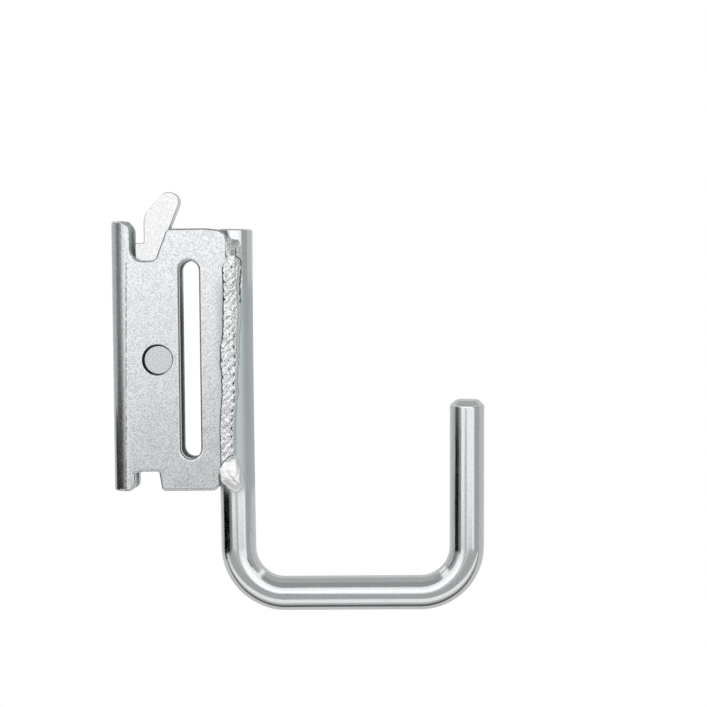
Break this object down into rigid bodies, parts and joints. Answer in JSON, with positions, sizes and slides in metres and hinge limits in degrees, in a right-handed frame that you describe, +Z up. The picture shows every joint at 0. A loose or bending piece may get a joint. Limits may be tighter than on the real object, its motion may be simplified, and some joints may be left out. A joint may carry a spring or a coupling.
{
  "type": "utility hook",
  "caption": "Bent rod hook welded to a folded steel fitting with a sprung latch lever, for hanging things on slotted wall track.",
  "frame": {"origin": "seat of the lower notches on the track: X = 0 at the back face of the track's wall, Y = 0 in the middle of the fitting, Z = 0 at the notches' ceiling", "axes": "+X away from the wall, along the hook's bottom run; +Z up, along the fitting; Y across the fitting's thickness"},
  "size_m": [0.0951, 0.0136, 0.1078],
  "materials": {
    "zinc_plated_sheet": "bright zinc plating over pressed sheet steel, faint bluish speckle",
    "zinc_plated_rod": "bright zinc plating over drawn round bar, with fine scratches along it",
    "zinc_plated_weld": "bright zinc plating over rippled weld metal",
    "zinc_plated_lever": "bright zinc plating over stamped plate",
    "spring_steel": "drawn spring wire"
  },
  "bodies": {
    "fitting": {"fitting_body": "zinc_plated_sheet", "hook_rod": "zinc_plated_rod", "weld_bead_front": "zinc_plated_weld", "weld_bead_rear": "zinc_plated_weld", "weld_blob_front": "zinc_plated_weld", "weld_blob_rear": "zinc_plated_weld", "latch_spring": "spring_steel"},
    "latch": {"latch_lever": "zinc_plated_lever"}
  },
  "joints": [
    {"name": "latch_pivot", "type": "hinge", "parent": "fitting", "child": "latch", "pos_m": [0.0062, 0, 0.02855], "axis": [0, 1, 0], "range_deg": [0, 9], "stiffness_Nm_per_rad": 0.3, "springref_deg": -8.59, "deforming": ["latch_spring"]}
  ]
}
